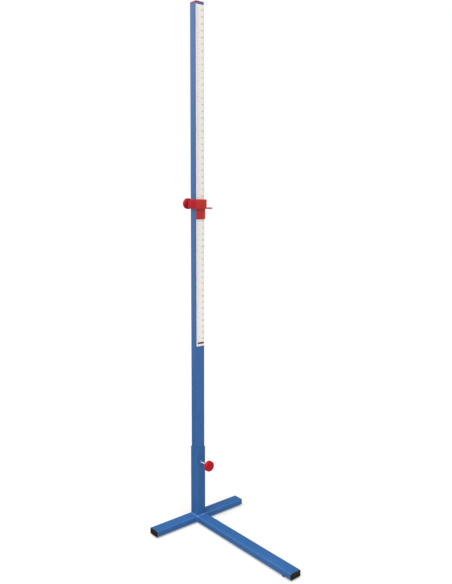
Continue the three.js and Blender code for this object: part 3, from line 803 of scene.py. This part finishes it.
# Scale strip: printed film under a clear laminate, stuck to the upright's front. Its left column
# counts centimetres and its right column inches, and a red band ends it below.
def printed_film():
    material, tree, shader = bare_material(
        "printed_film", 0.4, specular=0.8, coat=1.0, coat_roughness=0.3)
    skin = placed_group(tree, surface_skin, Grain_Size=500, Cloud_Size=5)
    rubbed = placed_group(tree, rubbed_edge, Edge_Width=0.0012, Patch_Size=90, Amount=0.7)
    body = mixed_colour(tree, skin["Cloud"], (0.885, 0.85, 0.80), (0.915, 0.885, 0.84))
    soiled = mixed_colour(tree, rubbed["Mask"], body, (0.55, 0.52, 0.48))
    tree.links.new(soiled, shader.inputs["Base Color"])
    tree.links.new(range_node(tree, skin["Cloud"], 0, 1, 0.34, 0.46), shader.inputs["Roughness"])
    bumped(tree, shader, skin["Height"], 0.00002, 0.5)
    return material


def printing_ink(name, dark, light):
    material, tree, shader = bare_material(name, 0.5)
    skin = placed_group(tree, surface_skin, Grain_Size=3000, Cloud_Size=200)
    tree.links.new(mixed_colour(tree, skin["Cloud"], dark, light), shader.inputs["Base Color"])
    tree.links.new(range_node(tree, skin["Cloud"], 0, 1, 0.42, 0.6), shader.inputs["Roughness"])
    bumped(tree, shader, skin["Height"], 0.00001, 0.5)
    return material


def flat_numerals():
    """The ten numerals as thin solids, one em high, each with the width it takes."""
    shapes = {}
    for digit in "0123456789":
        text = bpy.data.curves.new("numeral", "FONT")
        text.body = digit
        text.resolution_u = 2
        text.extrude = 0.5
        letter = bpy.data.objects.new("numeral", text)
        bpy.context.collection.objects.link(letter)
        bpy.context.view_layer.update()
        shaped = letter.evaluated_get(bpy.context.evaluated_depsgraph_get())
        mesh = bpy.data.meshes.new_from_object(shaped)
        points = [tuple(vertex.co) for vertex in mesh.vertices]
        faces = [tuple(polygon.vertices) for polygon in mesh.polygons]
        shapes[digit] = (points, faces)
        bpy.data.objects.remove(letter)
        bpy.data.curves.remove(text)
        bpy.data.meshes.remove(mesh)
    return shapes


ink_thick = 0.00004


def ink_block(face, ys, zs):
    """Corners and faces of one block of ink on the strip's face, between two places each way."""
    corners = [(x, y, z) for x in (face - ink_thick, face + ink_thick) for y in ys for z in zs]
    faces = [(0, 1, 3, 2), (4, 6, 7, 5), (0, 4, 5, 1), (2, 3, 7, 6), (0, 2, 6, 4), (1, 5, 7, 3)]
    return corners, faces


def ink_number(face, value, numerals, y_middle, z_middle, tall, tighten):
    """Corners and faces of a number on the strip's face, its digits evenly spaced."""
    digit_em, advance_share = 0.7, 0.80
    scale, advance = tall / digit_em, tall * advance_share * tighten
    points, faces = [], []
    for place, digit in enumerate(str(value)):
        shape, shape_faces = numerals[digit]
        left = min(x for x, _, _ in shape)
        wide = max(x for x, _, _ in shape) - left
        from_middle = (place - (len(str(value)) - 1) / 2) * advance
        start = y_middle + from_middle - wide / 2 * scale * tighten
        faces += [tuple(len(points) + corner for corner in corners) for corners in shape_faces]
        points += [(face + z * 2 * ink_thick,
                    start + (x - left) * scale * tighten,
                    z_middle + (y - digit_em / 2) * scale) for x, y, z in shape]
    return points, faces


def scale_print(band_high):
    points, faces, inks = [], [], []

    def printed(shape, ink):
        corners, shape_faces = shape
        faces.extend(tuple(len(points) + place for place in places) for places in shape_faces)
        points.extend(corners)
        inks.extend([ink] * len(shape_faces))

    numerals = flat_numerals()
    face, _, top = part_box("scale_strip")[1]
    black, red = 0, 1
    left_edge, right_edge = -0.0180, 0.0180
    # Centimetres, with millimetre ticks along the left edge.
    per_metre, start, half_line = 1000, 0.048, 0.00012
    whole_tick, half_tick, short_tick = 0.0062, 0.0046, 0.0032
    last_tick, last_number = top - 0.003, top - 0.006
    middle, tall, tighten = -0.0085, 0.0031, 0.92
    tick = math.ceil((band_high + start) * per_metre + 1)
    while tick / per_metre - start < last_tick:
        z = tick / per_metre - start
        whole = tick % 10 == 0
        length = whole_tick if whole else half_tick if tick % 5 == 0 else short_tick
        across = (left_edge, left_edge + length)
        printed(ink_block(face, across, (z - half_line, z + half_line)), red if whole else black)
        if whole and z < last_number:
            printed(ink_number(face, tick // 10, numerals, middle, z, tall, tighten), red)
        tick += 1
    # Inches, with ticks of an eighth along the right edge.
    top_mark, top_inch, inch, half_line = 2.0975, 84, 0.0254, 0.00014
    whole_tick, half_tick, short_tick = 0.0050, 0.0036, 0.0024
    lowest_tick = band_high + 0.004
    middle, tall, tighten = 0.0102, 0.0066, 0.86
    eighth = 0
    while top_mark - eighth * inch / 8 >= lowest_tick:
        z = top_mark - eighth * inch / 8
        whole = eighth % 8 == 0
        length = whole_tick if whole else half_tick if eighth % 4 == 0 else short_tick
        across = (right_edge - length, right_edge)
        printed(ink_block(face, across, (z - half_line, z + half_line)), black)
        if whole:
            number = top_inch - eighth // 8
            printed(ink_number(face, number, numerals, middle, z, tall, tighten), black)
        eighth += 1
    mesh = bpy.data.meshes.new("scale_print")
    mesh.from_pydata(points, [], faces)
    mesh.materials.append(printing_ink("black_ink", (0.10, 0.10, 0.10), (0.16, 0.16, 0.16)))
    mesh.materials.append(printing_ink("red_ink", (0.30, 0.05, 0.05), (0.38, 0.08, 0.07)))
    mesh.polygons.foreach_set("material_index", inks)
    mesh.update()
    print_layer = bpy.data.objects.new("scale_print", mesh)
    bpy.context.collection.objects.link(print_layer)
    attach(print_layer, "upright")


def scale_band(band_low, band_high):
    half_wide = 0.0162
    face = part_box("scale_strip")[1].x
    corners, faces = ink_block(face, (-half_wide, half_wide), (band_low, band_high))
    mesh = bpy.data.meshes.new("scale_band")
    mesh.from_pydata(corners, [], faces)
    mesh.materials.append(printing_ink("band_ink", (0.17, 0.018, 0.018), (0.22, 0.026, 0.024)))
    band_layer = bpy.data.objects.new("scale_band", mesh)
    bpy.context.collection.objects.link(band_layer)
    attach(band_layer, "upright")


dress("scale_strip", printed_film())
white_below, band_tall = 0.0088, 0.008
band_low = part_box("scale_strip")[0].z + white_below
band_high = band_low + band_tall
scale_print(band_high)
scale_band(band_low, band_high)


# Slider: one red moulding that runs on the upright, with the crossbar's shelf on its right side.
# A thin red plate hangs from a slot in it and points at the scale. A zinc nut in its back wall
# takes the upper clamp screw. The red is painted paler on the front, as a painted sheen.
def sunned_moulding():
    material = red_moulding("red_moulding_painted_sheen")
    tree = material.node_tree
    colour = tree.nodes["Principled BSDF"].inputs["Base Color"]
    outlook = tree.nodes.new("ShaderNodeSeparateXYZ")
    tree.links.new(tree.nodes.new("ShaderNodeNewGeometry").outputs["Normal"], outlook.inputs[0])
    # Faces turned towards +X, the front, are mixed towards the paler red below: a painted sheen.
    painted_sheen_share = range_node(tree, outlook.outputs["X"], 0.3, 0.95, 0, 0.6)
    unsheened_red = colour.links[0].from_socket
    tree.links.new(mixed_colour(tree, painted_sheen_share, unsheened_red, (0.56, 0.058, 0.045)), colour)
    return material


red_plastic_painted_sheen = sunned_moulding()
dress("slider_body", red_plastic_painted_sheen)
dress("pointer_plate", red_plastic_painted_sheen)
dress("slider_nut", zinc)
